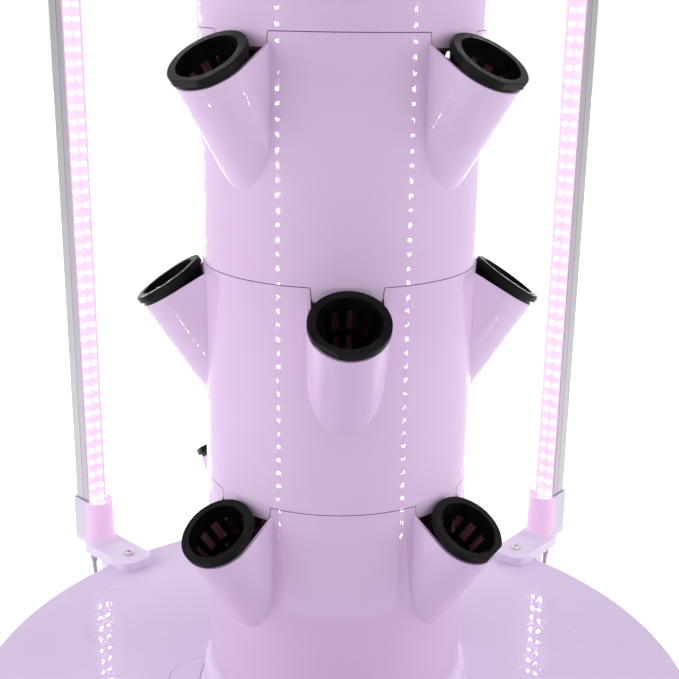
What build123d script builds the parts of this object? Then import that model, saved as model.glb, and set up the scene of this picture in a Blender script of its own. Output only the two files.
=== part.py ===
from build123d import *
import os
from math import cos, radians, sin, sqrt, tan

os.makedirs("parts", exist_ok=True)

# The origin is on the floor under the column's axis, +Z is up and the front pot of the second
# tier faces -Y. An azimuth is counted from -Y towards +X. All sizes are in millimetres.

# Column of stacked planting tiers
tier_count = 5
pots_per_tier = 4
tier_pitch = 162.0
column_radius = 100.0
column_wall = 3.0
seam_chamfer = 0.4
spigot_wall = 3.0
spigot_depth = 12.0
spigot_lap = 6.0
spigot_clearance = 0.3
ledge_width = 6.0
ledge_height = 3.0
ledge_clearance = 1.0

# Planting pots, troughs with a round front that lean out of the column
pot_tilt = 34.0
rim_tilt = 31.8
pot_radius = 26.5
pot_wall = 2.5
pot_stand_out = 22.0
pot_drop = 21.6
notch_width = 49.0
notch_overlap = 1.0
notch_draft = 1.0
notch_corner = 1.5
tab_clearance = 0.35

# Net cups
cup_flange_overhang = 1.0
cup_flange_height = 4.6
cup_collar_inset = 1.5
cup_collar_height = 2.9
cup_bore_clearance = 0.8
cup_wall = 1.6
cup_depth = 50.0
cup_taper = 7.0
cup_flat_depth = 1.9
cup_edge_chamfer = 0.5
cup_slot_columns = 12
cup_slot_rows = 2
cup_slot_width = 6.0
cup_slot_narrowing = 1.2
cup_slot_height = 17.0
cup_slot_rib = 4.0
cup_slot_start = 5.0
cup_drain_length = 8.0
cup_drain_width = 3.0
cup_drain_circle = 8.5
cup_drain_count = 6

# Where the flat of each cup in the front view lies, counted from its downhill side
seen_cup_turns = {(1, 0): 10.0, (1, 3): 95.0, (2, 0): -38.0, (3, 0): -6.0, (3, 3): 4.0}
unseen_cup_turn = 137.5

# Top cap and water tray
cap_rim_height = 14.0
cap_crown = 16.0
cap_wall = 3.0
cap_tray_gap = 0.5
tray_thickness = 2.5
tray_hole_radius = 2.0
tray_hole_count = 24
tray_hole_inset = 14.0

# Reservoir lid
lid_radius = 290.0
lid_thickness = 5.0
lid_edge_round = 2.5
skirt_depth = 20.0
skirt_wall = 4.0
skirt_clearance = 1.5
neck_height = 29.4
neck_straight = 19.0
neck_flare = 6.0
neck_foot_round = 3.0

# Fill hatch beside the neck
hatch_radius = 31.6
hatch_inset = 2.0
hatch_thickness = 2.5
hatch_clearance = 0.4
hatch_ledge = 3.5
hatch_corner = 3.0
hatch_lip_depth = 6.0
hatch_lip_wall = 2.0
hatch_grip_radius = 7.0
hatch_neck_gap = 1.0

# Reservoir tank and its feet
tank_height = 240.0
tank_wall = 4.0
tank_floor = 5.0
tank_draft = 30.0
tank_base_round = 16.0
tank_rim_height = 8.0
tank_rim_overhang = 3.0
foot_height = 10.0
foot_radius = 22.0
foot_inset = 45.0
foot_count = 4
foot_edge_round = 3.0

# Circulation pump on the tank floor, with its outlet on the column's axis
pump_width = 62.0
pump_length = 66.0
pump_height = 56.0
pump_edge_round = 5.0
pump_front = 12.0
chamber_radius = 20.0
chamber_depth = 20.0
well_radius = 9.5
well_depth = 30.0
rotor_clearance = 0.8
impeller_radius = 17.0
impeller_width = 12.0
blade_count = 6
blade_thickness = 2.0
impeller_hub = 5.0
shaft_radius = 1.5
shaft_clearance = 0.05
strainer_thickness = 6.0
strainer_slot_count = 7
strainer_slot_width = 2.5
strainer_slot_pitch = 6.0
strainer_slot_height = 24.0
sucker_height = 7.0
sucker_radius = 8.0
sucker_inset = 12.0

# Riser from the pump to the water tray
riser_radius = 10.0
riser_wall = 2.0
riser_stand_up = 6.0
riser_clearance = 0.1
nozzle_wall = 2.0
nozzle_height = 22.0
nozzle_flange_radius = 14.0
nozzle_flange_height = 4.0

# Light bars round the column
bar_stand_off = 39.0
bar_front_azimuth = 46.0
bar_rear_azimuth = 136.6
bar_height = 880.0
bar_width = 21.0
channel_depth = 21.0
channel_wall = 1.6
channel_corner = 3.0
cover_wall = 1.4
board_thickness = 1.2
board_clearance = 0.2
rail_width = 1.6
bar_cap_height = 6.0
bar_cap_lap = 0.8

# Light feet, each a boot screwed to the lid and hooked over its rim
boot_height = 52.0
boot_front_wall = 4.3
boot_side_wall = 1.3
boot_back_wall = 1.2
boot_taper = 1.6
boot_foot_thickness = 9.5
boot_foot_width = 34.0
boot_toe = 19.0
boot_foot_corner = 11.0
boot_fillet = 6.0
boot_heel_rise = 6.0
boot_heel_round = 2.0
boot_hook_thickness = 13.0
boot_hook_depth = 18.0
boot_hook_round = 3.0
boot_hook_clearance = 0.5
boot_clearance = 0.2
screw_inset = 11.0
screw_radius = 2.0
screw_clearance = 0.1
screw_head_radius = 4.4
screw_head_height = 2.8
screw_floor = 0.5
screw_recess_width = 1.1
screw_recess_length = 5.2
screw_recess_depth = 1.4

# Light leads with their glands and grommets
lead_radius = 2.1
gland_radius = 6.0
gland_height = 16.0
gland_taper = 1.0
gland_nose_radius = 4.0
gland_nose_height = 10.0
gland_nose_wall = 1.0
lead_bore_clearance = 0.1
lead_drop = 9.0
lead_steps = [(-4.5, -18.0), (-12.0, -14.0), (-15.0, -6.0)]
lead_bend_share = 0.45
grommet_flange = 7.0
grommet_thickness = 3.0
grommet_neck = 4.5
power_azimuth = 180.0
power_gland_radius = 11.0
power_gland_neck = 7.0
power_lead_radius = 3.5
power_gland_nut = 6.0
power_gland_dome = 14.0

# Heights and radii that follow from the sizes above
on_base = (Align.CENTER, Align.CENTER, Align.MIN)
level_tolerance = 0.01
hole_reach = 2 * tank_wall
tank_top = foot_height + tank_height
lid_top = tank_top + lid_thickness
first_seam = lid_top + neck_height
top_seam = first_seam + tier_count * tier_pitch
column_bore = column_radius - column_wall
spigot_radius = column_bore - spigot_clearance
spigot_bore = spigot_radius - spigot_wall
ledge_top = spigot_depth + ledge_clearance
pot_bore = pot_radius - pot_wall
pot_spread = 360.0 / pots_per_tier
pot_length = (pot_stand_out + column_wall + pot_radius * cos(radians(pot_tilt))) / sin(radians(pot_tilt))
pot_run = pot_length + 2 * column_wall
web_reach = pot_stand_out / cos(radians(pot_tilt)) + pot_radius
lip_reach = column_radius + pot_stand_out + pot_radius * cos(radians(pot_tilt))
lip_drop = pot_drop + pot_radius * sin(radians(pot_tilt))
rim_drop = lip_drop - (lip_reach - column_radius) * tan(radians(rim_tilt))
notch_depth = rim_drop + notch_overlap
cap_spigot_depth = ledge_top - tray_thickness - cap_tray_gap
neck_radius = column_radius + neck_flare
neck_bore = column_bore
hatch_offset = neck_radius - hatch_inset
tank_radius = lid_radius - skirt_wall - skirt_clearance - tank_rim_overhang
tank_floor_top = foot_height + tank_floor
screw_circle = lid_radius - screw_inset
bar_circle = lid_radius + bar_stand_off
bar_bottom = lid_top + boot_foot_thickness
bar_top = lid_top + bar_height
bar_azimuths = [bar_front_azimuth, bar_rear_azimuth, 360 - bar_rear_azimuth, 360 - bar_front_azimuth]


def keep(part, name):
    part.label = name
    export_step(part, f"parts/{name}.step")


def facing(azimuth, height=0.0):
    return Location((0, 0, height), (0, 0, azimuth))


def along_bar(azimuth):
    return Location((0, 0, 0), (0, 0, azimuth - 90))


def tank_radius_at(height):
    return tank_radius - tank_draft * (tank_top - height) / tank_height


def pot_plane(azimuth, seam):
    out = Vector(sin(radians(azimuth)), -cos(radians(azimuth)), 0)
    axis = out * sin(radians(pot_tilt)) + Vector(0, 0, cos(radians(pot_tilt)))
    centre = out * (column_radius + pot_stand_out) + Vector(0, 0, seam - pot_drop)
    return Plane(origin=centre, x_dir=(cos(radians(azimuth)), sin(radians(azimuth)), 0), z_dir=axis)


def pot_azimuths(tier_number):
    shift = pot_spread / 2 if tier_number % 2 else 0.0
    return [shift + pot_spread * number for number in range(pots_per_tier)]


def cup_turn(tier_number, pot_number):
    order = tier_number * pots_per_tier + pot_number
    return seen_cup_turns.get((tier_number, pot_number), order * unseen_cup_turn % 360)


# Tabs that fill the notches over the pots of the tier below
def notch_outline(gap):
    half = notch_width / 2 - gap
    floor_half = half - notch_draft
    shoulder = half + 2 * notch_corner
    with BuildSketch() as outline:
        with BuildLine():
            Polyline(
                (-shoulder, seam_chamfer), (-shoulder, 0), (-half, 0), (-floor_half, gap - notch_depth),
                (floor_half, gap - notch_depth), (half, 0), (shoulder, 0), (shoulder, seam_chamfer),
                close=True,
            )
        make_face()
        corners = outline.vertices().filter_by_position(Axis.Y, -level_tolerance, level_tolerance)
        inner = [corner for corner in corners if abs(corner.X) < shoulder - notch_corner / 2]
        fillet(inner, notch_corner - gap)
    return outline.sketch


def wall_plane(azimuth, seam):
    out = Vector(sin(radians(azimuth)), -cos(radians(azimuth)), 0)
    side = Vector(cos(radians(azimuth)), sin(radians(azimuth)), 0)
    return Plane(origin=Vector(0, 0, seam), x_dir=side, z_dir=out)


def notch_planes(start, seam):
    return [wall_plane(start + pot_spread * number, seam) for number in range(pots_per_tier)]


notch_shape = notch_outline(0.0)
tab_shape = notch_outline(tab_clearance)

with BuildPart() as tabs:
    for plane in notch_planes(pot_spread / 2, 0.0):
        with BuildSketch(plane):
            add(tab_shape)
        extrude(amount=column_radius + column_wall)
    tab_height = notch_depth + seam_chamfer
    with Locations((0, 0, -notch_depth)):
        Cylinder(column_radius, tab_height, align=on_base, mode=Mode.INTERSECT)
        Cylinder(spigot_radius - spigot_clearance, tab_height, align=on_base, mode=Mode.SUBTRACT)


# A pot's inside or outside: round in front, straight back to the column, and cut off by the rim
def pot_prism(half):
    rim_normal = (0, -sin(radians(rim_tilt)), cos(radians(rim_tilt)))
    rim_plane = Plane(origin=(0, -lip_reach, -lip_drop), x_dir=(1, 0, 0), z_dir=rim_normal)
    with BuildPart() as prism:
        with BuildSketch(pot_plane(0.0, 0.0).offset(pot_radius)):
            Circle(half)
            Rectangle(2 * half, web_reach, align=(Align.CENTER, Align.MIN))
        extrude(amount=-pot_radius - pot_run)
        split(bisect_by=rim_plane, keep=Keep.BOTTOM)
    return prism.part


pot_hollow = pot_prism(pot_bore)


# A tier is a tube with windows for its pots, notches at its top and a spigot at its foot
def planting_tier(with_tabs):
    with BuildPart() as tier:
        Cylinder(column_radius, tier_pitch, align=on_base)
        chamfer(tier.edges().filter_by(GeomType.CIRCLE), seam_chamfer)
        Cylinder(column_bore, tier_pitch, align=on_base, mode=Mode.SUBTRACT)
        with Locations((0, 0, tier_pitch - ledge_top - ledge_height)):
            Cylinder(column_bore + column_wall / 2, ledge_height, align=on_base)
            Cylinder(column_bore - ledge_width, ledge_height, align=on_base, mode=Mode.SUBTRACT)
        for number in range(pots_per_tier):
            with Locations(facing(pot_spread * number, tier_pitch)):
                add(pot_hollow, mode=Mode.SUBTRACT)
        for plane in notch_planes(0.0, tier_pitch):
            with BuildSketch(plane):
                add(notch_shape)
            extrude(amount=column_radius + column_wall, mode=Mode.SUBTRACT)
        Cylinder(column_bore + column_wall / 2, spigot_lap, align=on_base)
        with Locations((0, 0, -spigot_depth)):
            Cylinder(spigot_radius, spigot_depth, align=on_base)
            Cylinder(spigot_bore, spigot_depth + spigot_lap, align=on_base, mode=Mode.SUBTRACT)
        if with_tabs:
            add(tabs.part)
    return tier.part


bottom_tier = planting_tier(with_tabs=False)
stacking_tier = planting_tier(with_tabs=True)

for number in range(1, tier_count + 1):
    with BuildPart() as tier:
        with Locations(facing(pot_azimuths(number)[0], first_seam + (number - 1) * tier_pitch)):
            add(bottom_tier if number == 1 else stacking_tier)
    keep(tier.part, f"tier_{number}")

# Leaning pots, which end on the column round the windows in its wall
with BuildPart() as pot:
    add(pot_prism(pot_radius))
    add(pot_hollow, mode=Mode.SUBTRACT)
    with Locations((0, 0, -tier_pitch)):
        Cylinder(column_radius, 2 * tier_pitch, align=on_base, mode=Mode.SUBTRACT)

with BuildPart() as planting_pots:
    for number in range(1, tier_count + 1):
        for azimuth in pot_azimuths(number):
            with Locations(facing(azimuth, first_seam + number * tier_pitch)):
                add(pot.part)
keep(planting_pots.part, "planting_pots")

# Net cup, drawn with its collar's seat on the rim of the pot and its flat on the downhill side
cup_flange_radius = pot_radius + cup_flange_overhang
cup_collar_radius = pot_radius - cup_collar_inset
cup_top_radius = pot_bore - cup_bore_clearance
cup_mouth_radius = cup_top_radius - cup_wall
cup_base_radius = cup_top_radius - cup_taper
cup_rim = cup_collar_height + cup_flange_height

with BuildPart() as cup:
    with BuildSketch(Plane.XZ):
        with BuildLine():
            Polyline(
                (0, -cup_depth), (cup_base_radius, -cup_depth), (cup_top_radius, 0), (cup_collar_radius, 0),
                (cup_collar_radius, cup_collar_height), (cup_flange_radius, cup_collar_height),
                (cup_flange_radius, cup_rim), (cup_mouth_radius, cup_rim), (cup_mouth_radius, 0),
                (cup_base_radius - cup_wall, cup_wall - cup_depth), (0, cup_wall - cup_depth), close=True,
            )
        make_face()
    revolve(axis=Axis.Z)
    with Locations((0, -cup_flange_radius + cup_flat_depth, cup_collar_height)):
        Box(2 * cup_flange_radius, cup_flange_radius, cup_flange_height,
            align=(Align.CENTER, Align.MAX, Align.MIN), mode=Mode.SUBTRACT)
    chamfer(cup.faces().sort_by(Axis.Z)[-1].outer_wire().edges(), cup_edge_chamfer)
    for row in range(cup_slot_rows):
        slot_top = -cup_slot_start - row * (cup_slot_height + cup_slot_rib)
        with Locations((0, 0, slot_top)):
            with PolarLocations(0, cup_slot_columns):
                Box(cup_collar_radius, cup_slot_width - row * cup_slot_narrowing, cup_slot_height,
                    align=(Align.MIN, Align.CENTER, Align.MAX), mode=Mode.SUBTRACT)
    with Locations((0, 0, -cup_depth)):
        with PolarLocations(cup_drain_circle, cup_drain_count):
            Box(cup_drain_length, cup_drain_width, cup_wall, align=on_base, mode=Mode.SUBTRACT)

for tier_number in range(1, tier_count + 1):
    seam = first_seam + tier_number * tier_pitch
    for pot_number, azimuth in enumerate(pot_azimuths(tier_number)):
        turn = Location((0, 0, 0), (0, 0, cup_turn(tier_number, pot_number)))
        seat = pot_plane(azimuth, seam).location * turn
        with BuildPart() as net_cup:
            with Locations(seat):
                add(cup.part)
        keep(net_cup.part, f"net_cup_{tier_number}_{pot_number + 1}")

# Top cap, a shallow dome with a spigot that closes the notches of the top tier from behind
dome_top = cap_rim_height + cap_crown


def dome_profile(inset):
    edge = (column_radius - inset, cap_rim_height - inset)
    with BuildSketch(Plane.XZ) as profile:
        with BuildLine():
            Polyline(edge, (column_radius - inset, 0), (0, 0), (0, dome_top - inset))
            TangentArc((0, dome_top - inset), edge, tangent=(1, 0))
        make_face()
    return profile.sketch


with BuildPart() as top_cap_shape:
    add(dome_profile(0.0))
    revolve(axis=Axis.Z)
    chamfer(top_cap_shape.edges().filter_by(GeomType.CIRCLE).sort_by(Axis.Z)[0], seam_chamfer)
    add(dome_profile(cap_wall))
    revolve(axis=Axis.Z, mode=Mode.SUBTRACT)
    Cylinder(column_bore + column_wall / 2, spigot_lap, align=on_base)
    with Locations((0, 0, -cap_spigot_depth)):
        Cylinder(spigot_radius, cap_spigot_depth, align=on_base)
        Cylinder(spigot_bore, cap_spigot_depth + spigot_lap, align=on_base, mode=Mode.SUBTRACT)

with BuildPart() as top_cap:
    with Locations((0, 0, top_seam)):
        add(top_cap_shape.part)
keep(top_cap.part, "top_cap")

# Water tray on the ledge of the top tier
tray_seat = top_seam - ledge_top

with BuildPart() as water_tray:
    with BuildSketch(Plane.XY.offset(tray_seat)):
        Circle(spigot_radius)
        Circle(riser_radius + riser_clearance, mode=Mode.SUBTRACT)
        with PolarLocations(spigot_radius - tray_hole_inset, tray_hole_count):
            Circle(tray_hole_radius, mode=Mode.SUBTRACT)
    extrude(amount=tray_thickness)
keep(water_tray.part, "water_tray")


# Fill hatch outline, cut off by the foot of the neck
def hatch_outline(plane, inset):
    with BuildSketch(plane) as outline:
        with Locations((-hatch_offset, 0)):
            Circle(hatch_radius - inset)
        Circle(neck_radius + neck_foot_round + hatch_neck_gap + inset, mode=Mode.SUBTRACT)
        fillet(outline.vertices(), hatch_corner)
    return outline.sketch


# Reservoir lid with the neck that carries the column
with BuildPart() as reservoir_lid:
    with BuildSketch(Plane.XZ):
        with BuildLine():
            Polyline(
                (neck_bore, first_seam), (neck_bore, tank_top), (lid_radius - skirt_wall, tank_top),
                (lid_radius - skirt_wall, lid_top - skirt_depth), (lid_radius, lid_top - skirt_depth),
                (lid_radius, lid_top - lid_edge_round),
            )
            RadiusArc(
                (lid_radius, lid_top - lid_edge_round), (lid_radius - lid_edge_round, lid_top),
                -lid_edge_round,
            )
            Line((lid_radius - lid_edge_round, lid_top), (neck_radius + neck_foot_round, lid_top))
            RadiusArc(
                (neck_radius + neck_foot_round, lid_top), (neck_radius, lid_top + neck_foot_round),
                neck_foot_round,
            )
            Line((neck_radius, lid_top + neck_foot_round), (neck_radius, lid_top + neck_straight))
            TangentArc(
                (neck_radius, lid_top + neck_straight), (column_radius, first_seam - seam_chamfer),
                tangent=(0, 1),
            )
            Polyline(
                (column_radius, first_seam - seam_chamfer), (column_radius - seam_chamfer, first_seam),
                (neck_bore, first_seam),
            )
        make_face()
    revolve(axis=Axis.Z)
    add(hatch_outline(Plane.XY.offset(lid_top), 0.0))
    extrude(amount=-hatch_thickness, mode=Mode.SUBTRACT)
    add(hatch_outline(Plane.XY.offset(lid_top), hatch_ledge))
    extrude(amount=-lid_thickness, mode=Mode.SUBTRACT)
    for azimuth in bar_azimuths:
        with Locations(along_bar(azimuth) * Location((screw_circle, 0, tank_top + screw_floor))):
            Cylinder(screw_radius + screw_clearance, lid_thickness, align=on_base, mode=Mode.SUBTRACT)
keep(reservoir_lid.part, "reservoir_lid")

# Fill hatch, a plate with a locating lip under it
hatch_seat = lid_top - hatch_thickness

with BuildPart() as fill_hatch:
    add(hatch_outline(Plane.XY.offset(hatch_seat), hatch_clearance))
    extrude(amount=hatch_thickness)
    add(hatch_outline(Plane.XY.offset(hatch_seat), hatch_ledge + hatch_clearance))
    extrude(amount=-hatch_lip_depth)
    add(hatch_outline(Plane.XY.offset(hatch_seat), hatch_ledge + hatch_clearance + hatch_lip_wall))
    extrude(amount=-hatch_lip_depth, mode=Mode.SUBTRACT)
    grip_shift = (hatch_radius - hatch_clearance) / sqrt(2)
    with Locations((-hatch_offset - grip_shift, -grip_shift, hatch_seat + hatch_thickness / 2)):
        Cylinder(hatch_grip_radius / 2, hatch_thickness, align=on_base, mode=Mode.SUBTRACT)
keep(fill_hatch.part, "fill_hatch")

# Reservoir tank, a tapered tub with a rim that carries the lid
gland_top = lid_top + boot_heel_rise
gland_end = gland_top - gland_height - gland_nose_height
lead_height = gland_end - lead_drop + sum(step[1] for step in lead_steps)


def wall_place(azimuth):
    return along_bar(azimuth) * Location((tank_radius_at(lead_height), 0, lead_height), (0, 90, 0))


with BuildPart() as reservoir_tank:
    with BuildSketch(Plane.XZ) as tub_profile:
        with BuildLine():
            Polyline(
                (0, foot_height), (tank_radius - tank_draft, foot_height), (tank_radius, tank_top),
                (0, tank_top), close=True,
            )
        make_face()
        corner = tub_profile.vertices().sort_by(Axis.Y)[:2].sort_by(Axis.X)[-1]
        fillet(corner, tank_base_round)
    revolve(axis=Axis.Z)
    with Locations((0, 0, tank_top - tank_rim_height)):
        Cylinder(tank_radius + tank_rim_overhang, tank_rim_height, align=on_base)
    with BuildSketch(Plane.XZ) as hollow_profile:
        with BuildLine():
            Polyline(
                (0, tank_floor_top), (tank_radius_at(tank_floor_top) - tank_wall, tank_floor_top),
                (tank_radius - tank_wall, tank_top), (0, tank_top), close=True,
            )
        make_face()
        corner = hollow_profile.vertices().sort_by(Axis.Y)[:2].sort_by(Axis.X)[-1]
        fillet(corner, tank_base_round - tank_wall)
    revolve(axis=Axis.Z, mode=Mode.SUBTRACT)
    for azimuth in bar_azimuths:
        with Locations(wall_place(azimuth)):
            Cylinder(grommet_neck, 2 * hole_reach, mode=Mode.SUBTRACT)
    with Locations(wall_place(power_azimuth)):
        Cylinder(power_gland_neck, 2 * hole_reach, mode=Mode.SUBTRACT)
keep(reservoir_tank.part, "reservoir_tank")

with BuildPart() as tank_feet:
    with Locations(facing(pot_spread / 2)):
        with PolarLocations(tank_radius - tank_draft - foot_inset, foot_count):
            Cylinder(foot_radius, foot_height, align=on_base)
    fillet(tank_feet.edges().filter_by(GeomType.CIRCLE).group_by(Axis.Z)[0], foot_edge_round)
keep(tank_feet.part, "tank_feet")

# Pump body, with its rotor axis along Y and the impeller chamber open to the front
pump_base = tank_floor_top + sucker_height
pump_axis_z = pump_base + pump_height / 2
pump_back = pump_length - pump_front
chamber_end = chamber_depth - pump_front

with BuildPart() as pump_body:
    with Locations((0, -pump_front, pump_base)):
        Box(pump_width, pump_length, pump_height, align=(Align.CENTER, Align.MIN, Align.MIN))
    fillet(pump_body.edges().filter_by(Axis.Y), pump_edge_round)
    with BuildSketch(Plane.XZ.offset(pump_front)):
        with Locations((0, pump_axis_z)):
            Circle(chamber_radius)
    extrude(amount=-chamber_depth, mode=Mode.SUBTRACT)
    with BuildSketch(Plane.XZ.offset(-chamber_end)):
        with Locations((0, pump_axis_z)):
            Circle(well_radius)
    extrude(amount=-well_depth, mode=Mode.SUBTRACT)
    with Locations((0, 0, pump_axis_z)):
        Cylinder(riser_radius - riser_wall - nozzle_wall, pump_height, align=on_base, mode=Mode.SUBTRACT)
    with BuildSketch(Plane.XZ.offset(-chamber_end - well_depth)):
        with Locations((0, pump_axis_z)):
            Circle(shaft_radius)
    extrude(amount=chamber_depth + well_depth)
keep(pump_body.part, "pump_body")

with BuildPart() as pump_impeller:
    with BuildSketch(Plane.XZ.offset(pump_front - rotor_clearance)):
        with Locations((0, pump_axis_z)):
            Circle(impeller_hub)
            with PolarLocations(0, blade_count):
                Rectangle(impeller_radius, blade_thickness, align=(Align.MIN, Align.CENTER))
    extrude(amount=-impeller_width)
    with BuildSketch(Plane.XZ.offset(pump_front - rotor_clearance - impeller_width)):
        with Locations((0, pump_axis_z)):
            Circle(well_radius - rotor_clearance)
    extrude(amount=-(chamber_depth - impeller_width + well_depth - 2 * rotor_clearance))
    with BuildSketch(Plane.XZ.offset(pump_front)):
        with Locations((0, pump_axis_z)):
            Circle(shaft_radius + shaft_clearance)
    extrude(amount=-(chamber_depth + well_depth), mode=Mode.SUBTRACT)
keep(pump_impeller.part, "pump_impeller")

with BuildPart() as pump_strainer:
    with Locations((0, -pump_front, pump_base)):
        Box(pump_width, strainer_thickness, pump_height, align=(Align.CENTER, Align.MAX, Align.MIN))
    fillet(pump_strainer.edges().filter_by(Axis.Y), pump_edge_round)
    with BuildSketch(Plane.XZ.offset(pump_front)):
        with Locations((0, pump_axis_z)):
            with GridLocations(strainer_slot_pitch, 0, strainer_slot_count, 1):
                SlotOverall(strainer_slot_height, strainer_slot_width, rotation=90)
            Circle(impeller_hub, mode=Mode.SUBTRACT)
    extrude(amount=strainer_thickness, mode=Mode.SUBTRACT)
keep(pump_strainer.part, "pump_strainer")

with BuildPart() as pump_suckers:
    for side in (-1, 1):
        for depth in (sucker_inset - pump_front, pump_back - sucker_inset):
            with Locations((side * (pump_width / 2 - sucker_inset), depth, tank_floor_top)):
                Cone(sucker_radius, sucker_radius / 2, sucker_height, align=on_base)
keep(pump_suckers.part, "pump_suckers")

# Outlet nozzle on the pump, with the riser pushed over it
pump_top = pump_base + pump_height
nozzle_radius = riser_radius - riser_wall - riser_clearance
riser_base = pump_top + nozzle_flange_height

with BuildPart() as pump_outlet:
    with BuildSketch(Plane.XY.offset(pump_top)):
        Circle(nozzle_flange_radius)
    extrude(amount=nozzle_flange_height)
    with BuildSketch(Plane.XY.offset(pump_top)):
        Circle(nozzle_radius)
    extrude(amount=nozzle_height)
    with BuildSketch(Plane.XY.offset(pump_top)):
        Circle(riser_radius - riser_wall - nozzle_wall)
    extrude(amount=nozzle_height, mode=Mode.SUBTRACT)
keep(pump_outlet.part, "pump_outlet")

with BuildPart() as riser_pipe:
    with BuildSketch(Plane.XY.offset(riser_base)):
        Circle(riser_radius)
        Circle(riser_radius - riser_wall, mode=Mode.SUBTRACT)
    extrude(amount=tray_seat + tray_thickness + riser_stand_up - riser_base)
keep(riser_pipe.part, "riser_pipe")


# Light bars, drawn along +X with the board's face on the bar circle
def bar_outline(plane, grow):
    half = bar_width / 2 + grow
    with BuildSketch(plane) as outline:
        with Locations((bar_circle, 0)):
            Circle(half)
            Rectangle(channel_depth + grow, 2 * half, align=(Align.MIN, Align.CENTER))
    return outline.sketch


channel_back = bar_circle + channel_depth
channel_inner = bar_width / 2 - channel_wall
bar_length = bar_top - bar_bottom

with BuildPart() as channel:
    with BuildSketch(Plane.XY.offset(bar_bottom)) as channel_profile:
        with Locations((bar_circle, 0)):
            Rectangle(channel_depth, bar_width, align=(Align.MIN, Align.CENTER))
        back_corners = channel_profile.vertices().group_by(Axis.X)[-1]
        fillet(back_corners, channel_corner)
        with Locations((bar_circle, 0)):
            Rectangle(channel_depth - channel_wall, 2 * channel_inner, align=(Align.MIN, Align.CENTER),
                      mode=Mode.SUBTRACT)
        for side in (-1, 1):
            with Locations((bar_circle + board_thickness, side * (channel_inner - rail_width / 2))):
                Rectangle(rail_width, rail_width, align=(Align.MIN, Align.CENTER))
    extrude(amount=bar_length)

with BuildPart() as cover:
    with BuildSketch(Plane.XY.offset(bar_bottom)):
        with Locations((bar_circle, 0)):
            Circle(bar_width / 2)
            Circle(bar_width / 2 - cover_wall, mode=Mode.SUBTRACT)
            Rectangle(bar_width, 2 * bar_width, align=(Align.MIN, Align.CENTER), mode=Mode.SUBTRACT)
    extrude(amount=bar_length)

with BuildPart() as board:
    with BuildSketch(Plane.XY.offset(bar_bottom)):
        with Locations((bar_circle, 0)):
            Rectangle(board_thickness, 2 * (channel_inner - board_clearance),
                      align=(Align.MIN, Align.CENTER))
    extrude(amount=bar_length)

# Light foot, a boot for the bar that flows into a flat foot on the lid, with a hook over the lid's rim
boot_top = lid_top + boot_height
boot_rise = boot_height - boot_foot_thickness
boot_front = bar_width / 2 + boot_clearance + boot_front_wall
boot_side = bar_width / 2 + boot_clearance + boot_side_wall
boot_back = channel_back + boot_clearance + boot_back_wall

with BuildPart() as boot:
    with BuildSketch(Plane.XY.offset(lid_top)) as foot_outline:
        with Locations((screw_circle - boot_toe, 0)):
            Rectangle(bar_circle - screw_circle + boot_toe, boot_foot_width, align=(Align.MIN, Align.CENTER))
        fillet(foot_outline.vertices().group_by(Axis.X)[0], boot_foot_corner)
    extrude(amount=boot_foot_thickness)
    with BuildSketch(Plane.XY.offset(gland_top)):
        with Locations((bar_circle, 0)):
            Rectangle(boot_back - bar_circle, 2 * boot_side, align=(Align.MIN, Align.CENTER))
    extrude(amount=bar_bottom - gland_top)
    with BuildSketch(Plane.XY.offset(lid_top)) as hook_outline:
        with Locations((lid_radius + boot_hook_clearance, 0)):
            Rectangle(boot_hook_thickness, boot_foot_width, align=(Align.MIN, Align.CENTER))
        fillet(hook_outline.vertices().group_by(Axis.X)[-1], boot_hook_round)
    extrude(amount=-boot_hook_depth)
    with BuildSketch(Plane.XY.offset(lid_top + boot_foot_thickness)):
        with Locations((bar_circle, 0)):
            Circle(boot_front + boot_rise * tan(radians(boot_taper)))
            Rectangle(2 * bar_width, 4 * bar_width, align=(Align.MIN, Align.CENTER), mode=Mode.SUBTRACT)
            Rectangle(boot_back - bar_circle, 2 * boot_side, align=(Align.MIN, Align.CENTER))
    with BuildSketch(Plane.XY.offset(boot_top)):
        with Locations((bar_circle, 0)):
            Circle(boot_front)
            Rectangle(2 * bar_width, 4 * bar_width, align=(Align.MIN, Align.CENTER), mode=Mode.SUBTRACT)
            Rectangle(boot_back - bar_circle, 2 * boot_side, align=(Align.MIN, Align.CENTER))
    loft(ruled=True)
    seat_start = bar_circle - 2 * bar_width
    seat_arcs = [
        edge for edge in boot.edges().filter_by(GeomType.CIRCLE)
        if abs(edge.center().Z - bar_bottom) < level_tolerance and edge.center().X > seat_start
    ]
    fillet(seat_arcs, boot_fillet)
    heel = [
        edge for edge in boot.edges().filter_by(Axis.Y)
        if abs(edge.center().Z - gland_top) < level_tolerance and edge.center().X > channel_back
    ]
    fillet(heel, boot_heel_round)
    add(bar_outline(Plane.XY.offset(bar_bottom), boot_clearance))
    extrude(amount=boot_rise, mode=Mode.SUBTRACT)
    with Locations((screw_circle, 0, lid_top)):
        Cylinder(screw_radius + screw_clearance, boot_foot_thickness, align=on_base, mode=Mode.SUBTRACT)
    with Locations((bar_circle + channel_depth / 2, 0, lid_top)):
        Cylinder(lead_radius + lead_bore_clearance, boot_foot_thickness, align=on_base, mode=Mode.SUBTRACT)

for number, azimuth in enumerate(bar_azimuths, start=1):
    with BuildPart() as light_channel:
        with Locations(along_bar(azimuth)):
            add(channel.part)
    keep(light_channel.part, f"light_channel_{number}")
    with BuildPart() as light_cover:
        with Locations(along_bar(azimuth)):
            add(cover.part)
    keep(light_cover.part, f"light_cover_{number}")
    with BuildPart() as led_board:
        with Locations(along_bar(azimuth)):
            add(board.part)
    keep(led_board.part, f"led_board_{number}")
    with BuildPart() as light_foot:
        with Locations(along_bar(azimuth)):
            add(boot.part)
    keep(light_foot.part, f"light_foot_{number}")

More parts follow.
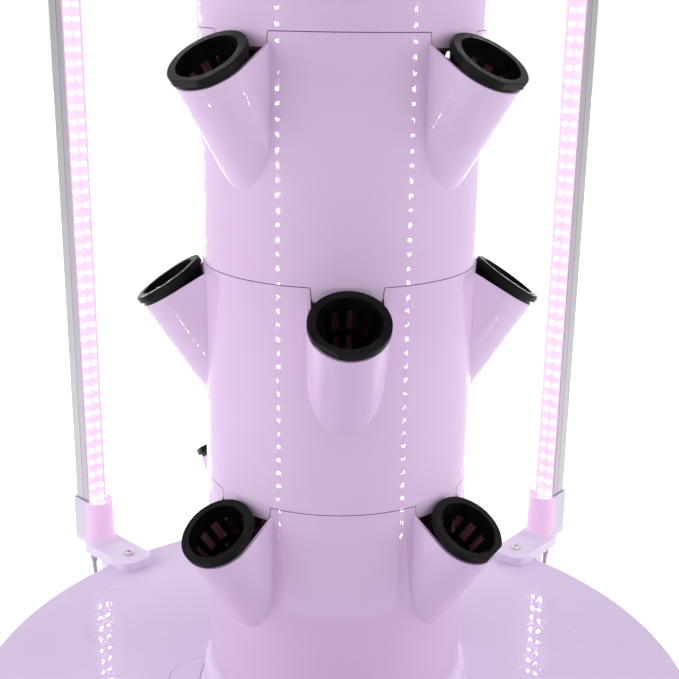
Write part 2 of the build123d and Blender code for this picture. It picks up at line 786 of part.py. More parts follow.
with BuildPart() as bar_cap:
    add(bar_outline(Plane.XY.offset(bar_top), bar_cap_lap))
    extrude(amount=bar_cap_height)
    fillet(bar_cap.faces().sort_by(Axis.Z)[-1].edges(), bar_cap_lap)

with BuildPart() as bar_caps:
    for azimuth in bar_azimuths:
        with Locations(along_bar(azimuth)):
            add(bar_cap.part)
keep(bar_caps.part, "light_end_caps")

# Pan-head screws of the light feet
with BuildPart() as screw:
    with Locations((screw_circle, 0, tank_top + screw_floor)):
        Cylinder(screw_radius, bar_bottom - tank_top - screw_floor, align=on_base)
    with Locations((screw_circle, 0, bar_bottom)):
        Cylinder(screw_head_radius, screw_head_height, align=on_base)
    fillet(screw.edges().filter_by(GeomType.CIRCLE).sort_by(Axis.Z)[-1], screw_head_height / 2)
    with Locations((screw_circle, 0, bar_bottom + screw_head_height)):
        Box(screw_recess_length, screw_recess_width, 2 * screw_recess_depth, mode=Mode.SUBTRACT)
        Box(screw_recess_width, screw_recess_length, 2 * screw_recess_depth, mode=Mode.SUBTRACT)

with BuildPart() as foot_screws:
    for azimuth in bar_azimuths:
        with Locations(along_bar(azimuth)):
            add(screw.part)
keep(foot_screws.part, "foot_screws")

# Lead glands under the light feet
gland_circle = bar_circle + channel_depth / 2

with BuildPart() as gland:
    with Locations((gland_circle, 0, gland_top - gland_height)):
        Cone(gland_radius - gland_taper, gland_radius, gland_height, align=on_base)
    with Locations((gland_circle, 0, gland_end)):
        Cone(lead_radius + gland_nose_wall, gland_nose_radius, gland_nose_height, align=on_base)
        Cylinder(lead_radius + lead_bore_clearance, gland_height + gland_nose_height, align=on_base,
                 mode=Mode.SUBTRACT)

with BuildPart() as lead_glands:
    for azimuth in bar_azimuths:
        with Locations(along_bar(azimuth)):
            add(gland.part)
keep(lead_glands.part, "lead_glands")

# Leads, straight out of the glands and round into the tank wall
lead_points = [(gland_circle, bar_bottom), (gland_circle, gland_end - lead_drop)]
for step in lead_steps:
    lead_points.append((lead_points[-1][0] + step[0], lead_points[-1][1] + step[1]))
lead_points.append((tank_radius_at(lead_height) - hole_reach, lead_height))


def corner_radius(before, corner, after):
    first = Vector(*corner) - Vector(*before)
    second = Vector(*after) - Vector(*corner)
    turn = radians(first.get_angle(second))
    return lead_bend_share * min(first.length, second.length) / tan(turn / 2)


lead_radii = [corner_radius(*lead_points[at - 1:at + 2]) for at in range(1, len(lead_points) - 1)]
print("lead bend radii", [round(radius, 1) for radius in lead_radii])

with BuildPart() as lead:
    with BuildLine(Plane.XZ) as lead_route:
        FilletPolyline(*lead_points, radius=lead_radii)
    with BuildSketch(Plane.XY.offset(bar_bottom)):
        with Locations((gland_circle, 0)):
            Circle(lead_radius)
    sweep(path=lead_route.line)

with BuildPart() as light_leads:
    for azimuth in bar_azimuths:
        with Locations(along_bar(azimuth)):
            add(lead.part)
keep(light_leads.part, "light_leads")

# Grommets where the leads pass the tank wall, and the gland for the mains lead at the back
with BuildPart() as lead_grommets:
    for azimuth in bar_azimuths:
        with Locations(wall_place(azimuth)):
            Cylinder(grommet_flange, 2 * grommet_thickness)
    add(reservoir_tank.part, mode=Mode.SUBTRACT)
    for azimuth in bar_azimuths:
        with Locations(wall_place(azimuth)):
            Cylinder(grommet_neck - lead_bore_clearance, 2 * grommet_thickness)
            Cylinder(lead_radius + lead_bore_clearance, 2 * grommet_thickness, mode=Mode.SUBTRACT)
keep(lead_grommets.part, "lead_grommets")

with BuildPart() as power_gland:
    with Locations(wall_place(power_azimuth)):
        Cylinder(power_gland_radius, 2 * power_gland_nut)
    add(reservoir_tank.part, mode=Mode.SUBTRACT)
    with Locations(wall_place(power_azimuth)):
        Cylinder(power_gland_neck - lead_bore_clearance, 2 * power_gland_nut)
        Cylinder(power_gland_neck, power_gland_dome, align=on_base)
        Cylinder(power_lead_radius, 2 * power_gland_dome, mode=Mode.SUBTRACT)
keep(power_gland.part, "power_gland")
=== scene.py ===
import math
import bmesh
import bpy
from mathutils import Matrix, Vector


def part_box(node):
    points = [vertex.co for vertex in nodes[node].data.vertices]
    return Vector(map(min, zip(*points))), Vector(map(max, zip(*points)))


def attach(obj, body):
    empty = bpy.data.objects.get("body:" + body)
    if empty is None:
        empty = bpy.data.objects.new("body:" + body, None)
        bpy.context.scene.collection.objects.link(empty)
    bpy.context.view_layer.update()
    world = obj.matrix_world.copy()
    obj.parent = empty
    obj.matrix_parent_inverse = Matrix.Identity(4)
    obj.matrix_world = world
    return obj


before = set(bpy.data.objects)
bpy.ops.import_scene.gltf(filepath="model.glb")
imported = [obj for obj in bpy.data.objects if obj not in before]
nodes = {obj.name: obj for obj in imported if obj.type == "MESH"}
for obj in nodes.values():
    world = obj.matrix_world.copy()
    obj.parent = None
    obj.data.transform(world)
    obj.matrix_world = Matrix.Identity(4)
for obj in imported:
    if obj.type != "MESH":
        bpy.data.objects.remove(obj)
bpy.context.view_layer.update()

print("frame loaded:", len(nodes), "pieces")


# A socket that can stand in a sum: the operators add the Math nodes
class Wire:
    def __init__(self, finish, socket):
        self.finish = finish
        self.socket = socket

    def maths(self, operation, *values):
        return self.finish.node("ShaderNodeMath", {"operation": operation}, dict(enumerate(values)))

    def __add__(self, other):
        return self.maths("ADD", self, other)

    def __radd__(self, other):
        return self.maths("ADD", other, self)

    def __sub__(self, other):
        return self.maths("SUBTRACT", self, other)

    def __rsub__(self, other):
        return self.maths("SUBTRACT", other, self)

    def __mul__(self, other):
        return self.maths("MULTIPLY", self, other)

    def __rmul__(self, other):
        return self.maths("MULTIPLY", other, self)

    def __truediv__(self, other):
        return self.maths("DIVIDE", self, other)

    def __rtruediv__(self, other):
        return self.maths("DIVIDE", other, self)

    # 0 below low, 1 above high, smooth between
    def between(self, low, high):
        settings = {"interpolation_type": "SMOOTHSTEP"}
        return self.finish.node("ShaderNodeMapRange", settings, {0: self, 1: low, 2: high, 3: 0.0, 4: 1.0})


# One surface finish: a material and the nodes in it
class Finish:
    def __init__(self, name, tree=None):
        if tree is None:
            self.material = bpy.data.materials.new(name)
            self.material.use_nodes = True
            tree = self.material.node_tree
        self.tree = tree
        self.tree.nodes.clear()

    def node(self, kind, settings=None, sockets=None, out=0):
        made = self.tree.nodes.new(kind)
        for key, value in (settings or {}).items():
            setattr(made, key, value)
        for key, value in (sockets or {}).items():
            if isinstance(value, Wire):
                self.tree.links.new(value.socket, made.inputs[key])
            else:
                made.inputs[key].default_value = value
        return Wire(self, made.outputs[out]) if made.outputs else None

    def place(self):
        return self.node("ShaderNodeTexCoord", out="Object")

    def stretched(self, place, factors):
        return self.node("ShaderNodeVectorMath", {"operation": "MULTIPLY"}, {0: place, 1: factors})

    def length(self, vector):
        return self.node("ShaderNodeVectorMath", {"operation": "LENGTH"}, {0: vector}, out="Value")

    def part(self, vector, axis):
        return self.node("ShaderNodeSeparateXYZ", None, {0: vector}, out=axis)

    def noise(self, place, scale, detail=2.0, roughness=0.5):
        sockets = {"Vector": place, "Scale": scale, "Detail": detail, "Roughness": roughness}
        return self.node("ShaderNodeTexNoise", None, sockets)

    def blend(self, factor, first, second):
        sockets = {0: factor, 6: colour(first), 7: colour(second)}
        return self.node("ShaderNodeMix", {"data_type": "RGBA"}, sockets, out=2)

    def bump(self, height, strength, distance):
        return self.node("ShaderNodeBump", None, {"Height": height, "Strength": strength, "Distance": distance})

    def surface(self, sockets):
        shader = self.node("ShaderNodeBsdfPrincipled", None, sockets)
        self.output(shader)
        return self.material

    def output(self, shader):
        self.node("ShaderNodeOutputMaterial", None, {"Surface": shader})


def colour(value):
    return value if isinstance(value, Wire) else (*value, 1.0)


# Glossy moulded plastic of the column, the pots and the reservoir, pale lilac
shellLooks = {
    "columnPlastic": {
        "tone": (0.636, 0.472, 0.676), "paleTone": (0.665, 0.503, 0.706), "gloss": 0.20, "shine": 0.03,
        "coat": 0.25, "coatGloss": 0.02, "coatIor": 2.0,
        "cloudScale": 7.0, "peelScale": 160.0, "peelHeight": 0.0000012,
    },
    "potPlastic": {
        "tone": (0.690, 0.530, 0.735), "paleTone": (0.720, 0.560, 0.765), "gloss": 0.20, "shine": 0.03,
        "coat": 0.25, "coatGloss": 0.02, "coatIor": 2.0,
        "cloudScale": 9.0, "peelScale": 160.0, "peelHeight": 0.0000012,
    },
    "reservoirPlastic": {
        "tone": (0.710, 0.585, 0.780), "paleTone": (0.740, 0.620, 0.810), "gloss": 0.22, "shine": 0.05,
        "coat": 0.30, "coatGloss": 0.02, "coatIor": 1.5,
        "cloudScale": 5.0, "peelScale": 140.0, "peelHeight": 0.0000006,
    },
}
# The cap is the column's plastic without the painted joint shade and without the painted rose shade inside
shellLooks["capPlastic"] = shellLooks["columnPlastic"]

# Where a noise turns from one tone into the other
patchEdges = (0.3, 0.7)

# Painted shade on the column: dark lines for the shade in the gaps of its joints, and a dusky rose painted shade,
# lit red through the wall, on the shell's inside
jointShadeLook = {
    "gap": 0.0004, "tabHalf": 0.0245, "tabDraft": 0.098, "tabDepth": 0.0102, "tone": (0.16, 0.115, 0.17),
    "seamLap": 0.02, "neckSeam": (-0.6, -0.4), "insideShadeTone": (0.45, 0.16, 0.22), "wallInside": 0.0973,
    "potStandOut": 0.0220, "potDrop": 0.0216, "potTilt": 34.0, "potShadedInside": 0.0243, "blur": 0.0001,
}


# Where a point lies for the nearest pot of the seam above it: below the seam, out from the axis and aside
def potPlace(finish, place):
    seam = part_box("tier_1")[1].z
    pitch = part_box("tier_2")[1].z - seam
    flat = finish.length(finish.stretched(place, (1.0, 1.0, 0.0)))
    height = finish.part(place, "Z")
    steps = (height - seam) / pitch
    number = steps.maths("CEIL", steps - jointShadeLook["seamLap"])
    angle = flat.maths("ARCTAN2", finish.part(place, "X"), -1 * finish.part(place, "Y"))
    quarter = angle / (math.pi / 2) + 1 - 0.5 * number.maths("FLOORED_MODULO", number, 2.0)
    turn = (quarter.maths("FRACT", quarter) - 0.5) * (math.pi / 2)
    out = flat * turn.maths("COSINE", turn)
    aside = flat * turn.maths("SINE", turn)
    return number, number * pitch + seam - height, out, aside.maths("ABSOLUTE", aside)


# 1 on the seams between tiers and along the tabs that reach down from one tier into the next: there the column
# gets painted shade for the gaps of its joints
def jointShadeLines(finish, place):
    number, below, out, aside = potPlace(finish, place)
    gap = jointShadeLook["gap"]
    tab = jointShadeLook["tabHalf"] - jointShadeLook["tabDraft"] * below
    plainSeam = 1 - number.between(*jointShadeLook["neckSeam"])
    onSeam = 1 - below.maths("ABSOLUTE", below).between(gap / 2, gap)
    beside = aside.between(tab - gap / 2, tab + gap / 2)
    offTab = aside - tab
    onTab = 1 - offTab.maths("ABSOLUTE", offTab).between(gap / 2, gap)
    reach = below.between(0.0, gap) * (1 - below.between(jointShadeLook["tabDepth"] - gap, jointShadeLook["tabDepth"]))
    seams = onSeam * beside.maths("MAXIMUM", beside, plainSeam)
    return seams.maths("MAXIMUM", seams, onTab * reach * (1 - plainSeam))


# 1 on the inner faces of the pots, which get the painted shade of the shell's inside
def potShadedInside(finish, place):
    number, below, out, aside = potPlace(finish, place)
    tilt = math.radians(jointShadeLook["potTilt"])
    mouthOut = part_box("tier_1")[1].x + jointShadeLook["potStandOut"]
    uphill = (mouthOut - out) * math.cos(tilt) + (jointShadeLook["potDrop"] - below) * math.sin(tilt)
    front = uphill.maths("MINIMUM", uphill, 0.0)
    away = front.maths("SQRT", front * front + aside * aside)
    inside = jointShadeLook["potShadedInside"]
    return 1 - away.between(inside - jointShadeLook["blur"], inside + jointShadeLook["blur"])


# 1 on the inner face of the column's wall, which gets the painted shade of the shell's inside
def columnShadedInside(finish, place):
    flat = finish.length(finish.stretched(place, (1.0, 1.0, 0.0)))
    inside = jointShadeLook["wallInside"]
    return 1 - flat.between(inside - jointShadeLook["blur"], inside + jointShadeLook["blur"])


# Traces of handling that dull the gloss a little, drawn out upwards
handlingLook = {
    "stretch": (1.0, 1.0, 0.35), "scale": 38.0, "detail": 4.0, "roughness": 0.65, "from": 0.52, "to": 0.72,
    "dulling": 0.05, "cloudDulling": 0.03, "peelStrength": 0.6,
}


def shellPlastic(name):
    look = shellLooks[name]
    finish = Finish(name)
    place = finish.place()
    cloud = finish.noise(place, look["cloudScale"], 3.0)
    handling = finish.noise(
        finish.stretched(place, handlingLook["stretch"]),
        handlingLook["scale"], handlingLook["detail"], handlingLook["roughness"],
    )
    peel = finish.noise(place, look["peelScale"], 2.0)
    smudge = handling.between(handlingLook["from"], handlingLook["to"])
    tone = finish.blend(cloud.between(*patchEdges), look["tone"], look["paleTone"])
    if name == "columnPlastic":
        # painted shade: dusky rose, lit red through the wall, on the column's inside
        tone = finish.blend(columnShadedInside(finish, place), tone, jointShadeLook["insideShadeTone"])
        # painted shade: dark lines in the gaps of the joints
        tone = finish.blend(jointShadeLines(finish, place), tone, jointShadeLook["tone"])
    if name == "potPlastic":
        # painted shade: dusky rose, lit red through the wall, on the pots' inside
        tone = finish.blend(potShadedInside(finish, place), tone, jointShadeLook["insideShadeTone"])
    return finish.surface({
        "Base Color": tone,
        "Roughness": look["gloss"] + handlingLook["dulling"] * smudge + handlingLook["cloudDulling"] * cloud,
        "Specular IOR Level": look["shine"],
        "Coat Weight": look["coat"],
        "Coat Roughness": look["coatGloss"],
        "Coat IOR": look["coatIor"],
        "Normal": finish.bump(peel, handlingLook["peelStrength"], look["peelHeight"]),
    })


# Black satin plastic of the net cups, with a fine moulded grain
cupLook = {
    "tone": (0.003, 0.0027, 0.0033), "wornTone": (0.009, 0.008, 0.0095), "satin": 0.34, "dulling": 0.12,
    "shine": 0.08, "cloudScale": 60.0, "grainScale": 900.0, "grainStrength": 0.35, "grainHeight": 0.00004,
}


def cupPlastic():
    finish = Finish("cupPlastic")
    place = finish.place()
    grain = finish.noise(place, cupLook["grainScale"], 3.0)
    cloud = finish.noise(place, cupLook["cloudScale"], 3.0)
    return finish.surface({
        "Base Color": finish.blend(cloud.between(0.35, 0.75), cupLook["tone"], cupLook["wornTone"]),
        "Roughness": cupLook["satin"] + cupLook["dulling"] * cloud,
        "Specular IOR Level": cupLook["shine"],
        "Normal": finish.bump(grain, cupLook["grainStrength"], cupLook["grainHeight"]),
    })


# Drawn aluminium: fine lines along the bar, a painted shade line along the step on its side, and a darker pinkish
# strip of painted shade, tinted by the lights' glow, on the side towards the lights
metalLook = {
    "tone": (0.36, 0.355, 0.38), "brightTone": (0.43, 0.425, 0.45), "frontShadeTone": (0.38, 0.345, 0.385),
    "stepShadeTone": (0.24, 0.235, 0.26), "stepRadius": 0.3368, "stepHalf": 0.0008,
    "satin": 0.30, "lineDulling": 0.10, "cloudDulling": 0.06, "cloudScale": 9.0,
    "lineStretch": (1.0, 1.0, 0.012), "lineScale": 1700.0, "lineStrength": 0.25, "lineHeight": 0.00003,
}


def channelMetal():
    finish = Finish("channelMetal")
    place = finish.place()
    lines = finish.noise(finish.stretched(place, metalLook["lineStretch"]), metalLook["lineScale"], 3.0)
    cloud = finish.noise(place, metalLook["cloudScale"], 2.0)
    radius = finish.length(finish.stretched(place, (1.0, 1.0, 0.0)))
    half = metalLook["stepHalf"]
    # painted shade: a dark line along the step, and a darker pinkish strip on the side towards the lights
    back = radius.between(metalLook["stepRadius"] - half, metalLook["stepRadius"] + half)
    offStep = radius - metalLook["stepRadius"]
    step = 1 - offStep.maths("ABSOLUTE", offStep).between(half / 2, half)
    drawn = finish.blend(lines.between(*patchEdges), metalLook["tone"], metalLook["brightTone"])
    sides = finish.blend(back, metalLook["frontShadeTone"], drawn)
    return finish.surface({
        "Base Color": finish.blend(step, sides, metalLook["stepShadeTone"]),
        "Metallic": 1.0,
        "Roughness": metalLook["satin"] + metalLook["lineDulling"] * lines + metalLook["cloudDulling"] * cloud,
        "Normal": finish.bump(lines, metalLook["lineStrength"], metalLook["lineHeight"]),
    })


# Clear cover over the lights: it takes on their glow
coverLook = {
    "tone": (0.90, 0.80, 0.90), "paleTone": (0.96, 0.88, 0.96), "clear": 0.16, "edgeOn": 0.45,
    "glow": (1.0, 0.72, 0.97), "paleGlow": (1.0, 0.80, 1.0), "glowStrength": 0.30,
    "gloss": 0.08, "lineDulling": 0.06, "lineStretch": (1.0, 1.0, 0.02), "lineScale": 900.0,
}


def coverClear():
    finish = Finish("coverClear")
    place = finish.place()
    lines = finish.noise(finish.stretched(place, coverLook["lineStretch"]), coverLook["lineScale"], 2.0)
    edgeOn = finish.node("ShaderNodeLayerWeight", None, {"Blend": 0.5}, out="Facing")
    return finish.surface({
        "Base Color": finish.blend(lines, coverLook["tone"], coverLook["paleTone"]),
        "Roughness": coverLook["gloss"] + coverLook["lineDulling"] * lines,
        "Alpha": coverLook["clear"] + coverLook["edgeOn"] * edgeOn * edgeOn,
        "Emission Color": finish.blend(lines, coverLook["glow"], coverLook["paleGlow"]),
        "Emission Strength": coverLook["glowStrength"],
    })


# Two rows of chips on each board: their spacing is shared by the board's halos and the chips
chipLook = {
    "pitch": 0.01278, "rowOffset": 0.0045, "side": 0.0046, "height": 0.0016, "endGap": 0.006,
    "windowRadius": 0.0020, "windowSides": 16, "windowRise": 0.00025, "edge": 0.0003,
    "windowRings": [(1.0, -1.0), (1.0, 0.35), (0.7, 1.0)],
    "bodyGlow": (1.0, 0.80, 0.98), "bodyStrength": 0.7,
    "windowGlow": (1.0, 0.92, 1.0), "windowStrength": 110.0,
}

# Light board: a white solder mask, given a pink base colour of painted light from the chips and a painted pink
# glow, with a painted white halo round each chip and a painted white glow just above the boot
boardLook = {
    "pinkLitMask": (0.74, 0.42, 0.72), "palePinkLitMask": (0.84, 0.55, 0.82), "satin": 0.45, "dulling": 0.1,
    "glow": (0.92, 0.36, 0.92), "haloGlow": (1.0, 0.94, 1.0), "glowStrength": 0.52,
    "haloInner": 0.0012, "haloOuter": 0.0042, "haloStretch": 1.6, "footBright": 0.012, "cloudScale": 120.0,
}


def boardFace(number):
    board = nodes[f"led_board_{number}"]
    low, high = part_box(board.name)
    middle = (low + high) / 2
    outward = Vector((middle.x, middle.y, 0.0)).normalized()
    return low.z, high.z, outward, min(vertex.co.dot(outward) for vertex in board.data.vertices)


def ledBoard():
    finish = Finish("ledBoard")
    place = finish.place()
    low, high, outward, face = boardFace(1)
    flat = finish.length(finish.stretched(place, (1.0, 1.0, 0.0)))
    height = finish.part(place, "Z")
    sideways = flat.maths("SQRT", flat * flat - face * face)
    offRow = sideways.maths("ABSOLUTE", sideways - chipLook["rowOffset"])
    steps = (height - low - chipLook["endGap"]) / chipLook["pitch"] + 0.5
    offChip = (steps.maths("FRACT", steps) - 0.5) * chipLook["pitch"]
    spread = offRow / boardLook["haloStretch"]
    away = flat.maths("SQRT", spread * spread + offChip * offChip)
    halo = 1 - away.between(boardLook["haloInner"], boardLook["haloOuter"])
    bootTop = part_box("light_foot_1")[1].z
    nearFoot = 1 - height.between(bootTop, bootTop + boardLook["footBright"])
    cloud = finish.noise(place, boardLook["cloudScale"], 2.0)
    return finish.surface({
        # painted light: the pink base colour and the pink glow stand for the chips' light on the white board
        "Base Color": finish.blend(cloud, boardLook["pinkLitMask"], boardLook["palePinkLitMask"]),
        "Roughness": boardLook["satin"] + boardLook["dulling"] * cloud,
        "Emission Color": finish.blend(
            halo.maths("MAXIMUM", halo, nearFoot), boardLook["glow"], boardLook["haloGlow"],
        ),
        "Emission Strength": boardLook["glowStrength"],
    })


# Milky boot plastic, lavender grey behind; on the side of the lights it is painted pink with their light and given
# a faint painted glow
bootLook = {
    "front": (0.80, 0.60, 0.78), "back": (0.66, 0.61, 0.74), "foot": (0.74, 0.66, 0.81),
    "litFront": (0.14, 0.09, 0.13), "dark": (0.0, 0.0, 0.0),
    "frontRadius": 0.322, "backRadius": 0.332, "footTop": 0.263, "sleeveFrom": 0.272,
    "satin": 0.32, "dulling": 0.08, "shine": 0.25, "milky": 0.25, "milkyReach": (0.006, 0.004, 0.006),
    "cloudScale": 45.0, "grainScale": 700.0, "grainStrength": 0.2, "grainHeight": 0.00003,
}


def bootPlastic():
    finish = Finish("bootPlastic")
    place = finish.place()
    radius = finish.length(finish.stretched(place, (1.0, 1.0, 0.0)))
    depth = radius.between(bootLook["frontRadius"], bootLook["backRadius"])
    cloud = finish.noise(place, bootLook["cloudScale"], 3.0)
    grain = finish.noise(place, bootLook["grainScale"], 2.0)
    height = finish.part(place, "Z").between(bootLook["footTop"], bootLook["sleeveFrom"])
    # painted light: pink base colour and a faint pink glow on the side towards the lights
    uprightLitTone = finish.blend(depth, bootLook["front"], bootLook["back"])
    return finish.surface({
        "Base Color": finish.blend(height, bootLook["foot"], uprightLitTone),
        "Roughness": bootLook["satin"] + bootLook["dulling"] * cloud,
        "Specular IOR Level": bootLook["shine"],
        "Emission Color": finish.blend(height * (1 - depth), bootLook["dark"], bootLook["litFront"]),
        "Emission Strength": 1.0,
        "Subsurface Weight": bootLook["milky"],
        "Subsurface Radius": bootLook["milkyReach"],
        "Subsurface Scale": 1.0,
        "Normal": finish.bump(grain, bootLook["grainStrength"], bootLook["grainHeight"]),
    })


# Smaller finishes that differ by a few values
smallLooks = {
    "endCapPlastic": {"tone": (0.72, 0.70, 0.74), "second": (0.78, 0.76, 0.80), "gloss": 0.35, "metal": 0.0},
    "screwSteel": {"tone": (0.62, 0.61, 0.60), "second": (0.78, 0.77, 0.76), "gloss": 0.18, "metal": 1.0},
    "glandPlastic": {"tone": (0.40, 0.37, 0.44), "second": (0.46, 0.43, 0.50), "gloss": 0.40, "metal": 0.0},
    "leadSheath": {"tone": (0.38, 0.35, 0.42), "second": (0.44, 0.41, 0.48), "gloss": 0.45, "metal": 0.0},
    "grommetRubber": {"tone": (0.020, 0.020, 0.022), "second": (0.035, 0.034, 0.036), "gloss": 0.62, "metal": 0.0},
    "footRubber": {"tone": (0.030, 0.030, 0.033), "second": (0.050, 0.049, 0.052), "gloss": 0.66, "metal": 0.0},
    "pumpPlastic": {"tone": (0.016, 0.017, 0.020), "second": (0.030, 0.031, 0.035), "gloss": 0.38, "metal": 0.0},
    "impellerPlastic": {"tone": (0.55, 0.56, 0.58), "second": (0.62, 0.63, 0.65), "gloss": 0.36, "metal": 0.0},
    "riserPlastic": {"tone": (0.42, 0.15, 0.20), "second": (0.47, 0.18, 0.23), "gloss": 0.34, "metal": 0.0},
}
smallGrain = {"cloudScale": 70.0, "scale": 800.0, "dulling": 0.10, "strength": 0.25, "height": 0.00003}


def smallFinish(name):
    look = smallLooks[name]
    finish = Finish(name)
    place = finish.place()
    cloud = finish.noise(place, smallGrain["cloudScale"], 3.0)
    grain = finish.noise(place, smallGrain["scale"], 2.0)
    return finish.surface({
        "Base Color": finish.blend(cloud.between(*patchEdges), look["tone"], look["second"]),
        "Metallic": look["metal"],
        "Roughness": look["gloss"] + smallGrain["dulling"] * grain,
        "Normal": finish.bump(grain, smallGrain["strength"], smallGrain["height"]),
    })


# Which finish each CAD piece takes, by the start of its name
capPlastic = shellPlastic("capPlastic")
reservoirPlastic = shellPlastic("reservoirPlastic")
finishes = {
    "tier": shellPlastic("columnPlastic"), "planting_pots": shellPlastic("potPlastic"),
    "top_cap": capPlastic, "water_tray": capPlastic, "reservoir": reservoirPlastic,
    "fill_hatch": reservoirPlastic, "net_cup": cupPlastic(), "light_channel": channelMetal(),
    "light_cover": coverClear(), "led_board": ledBoard(), "light_foot": bootPlastic(),
    "light_end_caps": smallFinish("endCapPlastic"), "foot_screws": smallFinish("screwSteel"),
    "lead_glands": smallFinish("glandPlastic"), "light_leads": smallFinish("leadSheath"),
    "lead_grommets": smallFinish("grommetRubber"), "tank_feet": smallFinish("footRubber"),
    "pump_impeller": smallFinish("impellerPlastic"), "pump": smallFinish("pumpPlastic"),
    "riser_pipe": smallFinish("riserPlastic"), "power_gland": smallFinish("grommetRubber"),
}


def finishFor(name):
    return next(material for start, material in finishes.items() if name.startswith(start))


for name, piece in nodes.items():
    piece.data.materials.clear()
    piece.data.materials.append(finishFor(name))
print("finishes set on the CAD pieces")


# Light chips on the boards: square packages, each with a round window
chipFinish = {
    "tone": (0.85, 0.80, 0.82), "paleTone": (0.95, 0.92, 0.94), "white": (1.0, 1.0, 1.0),
    "gloss": 0.30, "dulling": 0.1, "cloudScale": 600.0,
}


def glowFinish(name, glow, strength):
    finish = Finish(name)
    place = finish.place()
    cloud = finish.noise(place, chipFinish["cloudScale"], 2.0)
    return finish.surface({
        "Base Color": finish.blend(cloud, chipFinish["tone"], chipFinish["paleTone"]),
        "Roughness": chipFinish["gloss"] + chipFinish["dulling"] * cloud,
        "Emission Color": finish.blend(cloud, glow, chipFinish["white"]),
        "Emission Strength": strength,
    })


def addChip(mesh, at):
    half = chipLook["side"] / 2
    low = chipLook["height"]
    edge = chipLook["edge"]
    rings = [(half, 0.0), (half, low - edge), (half - edge, low)]
    corners = [(-1, -1), (1, -1), (1, 1), (-1, 1)]
    loops = [[mesh.verts.new(at @ Vector((x * size, y * size, z))) for x, y in corners] for size, z in rings]
    for lower, upper in zip(loops, loops[1:]):
        for number in range(4):
            following = (number + 1) % 4
            mesh.faces.new((lower[number], lower[following], upper[following], upper[number]))
    mesh.faces.new(loops[-1])
    mesh.faces.new(loops[0][::-1])
    addWindow(mesh, at)


def addWindow(mesh, at):
    sides = chipLook["windowSides"]
    low = chipLook["height"]
    loops = []
    for radiusShare, riseShare in chipLook["windowRings"]:
        reach = radiusShare * chipLook["windowRadius"]
        level = low + riseShare * chipLook["windowRise"]
        angles = [2 * math.pi * number / sides for number in range(sides)]
        spots = [Vector((reach * math.cos(angle), reach * math.sin(angle), level)) for angle in angles]
        loops.append([mesh.verts.new(at @ spot) for spot in spots])
    made = [mesh.faces.new(loops[-1]), mesh.faces.new(loops[0][::-1])]
    for lower, upper in zip(loops, loops[1:]):
        for number in range(sides):
            following = (number + 1) % sides
            made.append(mesh.faces.new((lower[number], lower[following], upper[following], upper[number])))
    for face in made:
        face.material_index = 1


def chipRows(number, materials):
    low, high, outward, face = boardFace(number)
    along = Vector((0.0, 0.0, 1.0)).cross(outward)
    turn = Matrix((along, Vector((0.0, 0.0, 1.0)), -outward)).transposed().to_4x4()
    count = int((high - low - 2 * chipLook["endGap"]) / chipLook["pitch"]) + 1
    mesh = bmesh.new()
    for side in (-1, 1):
        for step in range(count):
            height = low + chipLook["endGap"] + step * chipLook["pitch"]
            spot = outward * face + along * side * chipLook["rowOffset"] + Vector((0.0, 0.0, height))
            addChip(mesh, Matrix.Translation(spot) @ turn)
    data = bpy.data.meshes.new(f"ledChips{number}")
    mesh.to_mesh(data)
    mesh.free()
    for material in materials:
        data.materials.append(material)
    chips = bpy.data.objects.new(f"ledChips{number}", data)
    bpy.context.scene.collection.objects.link(chips)
    chips.visible_diffuse = False
    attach(chips, "tower")
    return chips


chipMaterials = [
    glowFinish("chipBody", chipLook["bodyGlow"], chipLook["bodyStrength"]),
    glowFinish("chipWindow", chipLook["windowGlow"], chipLook["windowStrength"]),
]
for number in range(1, 5):
    chipRows(number, chipMaterials)
print("light chips placed on the boards")


# Floor, world and lamps
stageLook = {
    "floorReach": 9.0, "floorTone": (0.86, 0.86, 0.87), "paleFloorTone": (0.88, 0.88, 0.89),
    "floorGlow": 0.86, "floorCloudScale": 3.0, "worldTone": (0.64, 0.64, 0.66), "white": (1.0, 1.0, 1.0),
}


# 1 for rays from the camera and for those mirrored or seen through, 0 for the light on the object
def seenDirectly(finish):
    path = {name: finish.node("ShaderNodeLightPath", out=name)
            for name in ("Is Camera Ray", "Is Glossy Ray", "Is Transmission Ray")}
    total = path["Is Camera Ray"] + path["Is Glossy Ray"] + path["Is Transmission Ray"]
    return total.maths("MINIMUM", total, 1.0)


def makeWorld():
    world = bpy.data.worlds.new("studio")
    world.use_nodes = True
    bpy.context.scene.world = world
    finish = Finish("studio", world.node_tree)
    tone = finish.blend(seenDirectly(finish), stageLook["worldTone"], stageLook["white"])
    glow = finish.node("ShaderNodeBackground", None, {"Color": tone, "Strength": 1.0})
    finish.node("ShaderNodeOutputWorld", None, {"Surface": glow})


def makeFloor():
    finish = Finish("paleFloor")
    cloud = finish.noise(finish.place(), stageLook["floorCloudScale"], 2.0)
    matt = finish.node("ShaderNodeBsdfDiffuse", None, {
        "Color": finish.blend(cloud, stageLook["floorTone"], stageLook["paleFloorTone"]),
    })
    glow = {"Color": colour(stageLook["white"]), "Strength": stageLook["floorGlow"]}
    white = finish.node("ShaderNodeEmission", None, glow)
    shown = finish.node("ShaderNodeAddShader", None, {0: matt, 1: white})
    finish.output(finish.node("ShaderNodeMixShader", None, {0: seenDirectly(finish), 1: matt, 2: shown}))
    reach = stageLook["floorReach"]
    corners = [(-reach, -reach, 0), (reach, -reach, 0), (reach, reach, 0), (-reach, reach, 0)]
    data = bpy.data.meshes.new("floor")
    data.from_pydata(corners, [], [(0, 1, 2, 3)])
    data.materials.append(finish.material)
    floor = bpy.data.objects.new("floor", data)
    bpy.context.scene.collection.objects.link(floor)


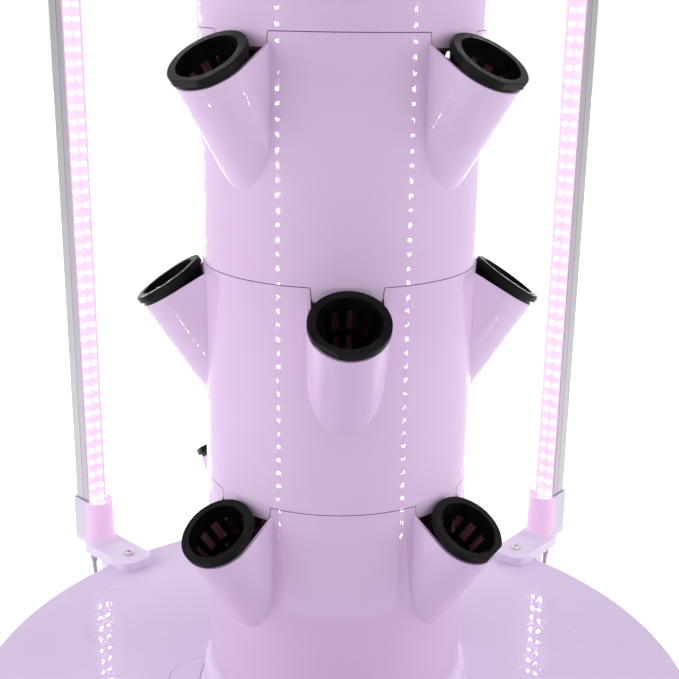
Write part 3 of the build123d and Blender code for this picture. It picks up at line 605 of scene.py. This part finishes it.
# Soft boxes: where each stands, what it looks at, its side and its power
lamps = {
    "leftBox": {"place": (-1.80, -0.25, 1.10), "aim": (0.0, 0.0, 0.70), "side": 1.4, "power": 17.0},
    "rightBox": {"place": (1.80, -0.25, 1.10), "aim": (0.0, 0.0, 0.70), "side": 1.4, "power": 15.5},
    "topBox": {"place": (0.0, -0.2, 2.9), "aim": (0.0, 0.0, 0.3), "side": 1.8, "power": 3.0},
    "backBox": {"place": (0.0, 2.1, 1.5), "aim": (0.0, 0.0, 0.6), "side": 1.6, "power": 6.0},
    "lowBox": {"place": (0.0, -1.3, 0.10), "aim": (0.0, 0.0, 0.55), "side": 0.8, "power": 1.5},
}


def makeLamp(name, look):
    data = bpy.data.lights.new(name, "AREA")
    data.shape = "SQUARE"
    data.size = look["side"]
    data.energy = look["power"]
    lamp = bpy.data.objects.new(name, data)
    bpy.context.scene.collection.objects.link(lamp)
    lamp.location = look["place"]
    sight = Vector(look["aim"]) - Vector(look["place"])
    lamp.rotation_euler = sight.to_track_quat("-Z", "Y").to_euler()
    lamp.visible_camera = False
    lamp.visible_glossy = False


makeWorld()
makeFloor()
for name, look in lamps.items():
    makeLamp(name, look)
print("floor, world and lamps placed")

# Camera at the photograph's place
cameraLook = {
    "place": (-0.0468, -0.8257, 0.7923), "yaw": 3.303, "pitch": 16.709, "roll": -0.697,
    "focalPixels": 1148.55, "imageSide": 679, "sensor": 36.0,
}


def makeCamera():
    yaw, pitch, roll = (math.radians(cameraLook[key]) for key in ("yaw", "pitch", "roll"))
    ahead = Vector((math.sin(yaw) * math.cos(pitch), math.cos(yaw) * math.cos(pitch), -math.sin(pitch)))
    level = Vector((math.cos(yaw), -math.sin(yaw), 0.0))
    downward = ahead.cross(level)
    right = math.cos(roll) * level + math.sin(roll) * downward
    below = math.cos(roll) * downward - math.sin(roll) * level
    data = bpy.data.cameras.new("camera")
    data.sensor_width = cameraLook["sensor"]
    data.lens = cameraLook["sensor"] * cameraLook["focalPixels"] / cameraLook["imageSide"]
    data.clip_start = 0.02
    data.clip_end = 60.0
    camera = bpy.data.objects.new("camera", data)
    bpy.context.scene.collection.objects.link(camera)
    turn = Matrix((right, -below, -ahead)).transposed().to_4x4()
    camera.matrix_world = Matrix.Translation(cameraLook["place"]) @ turn
    bpy.context.scene.camera = camera


makeCamera()
bpy.context.scene.view_settings.view_transform = "Standard"
print("camera placed")
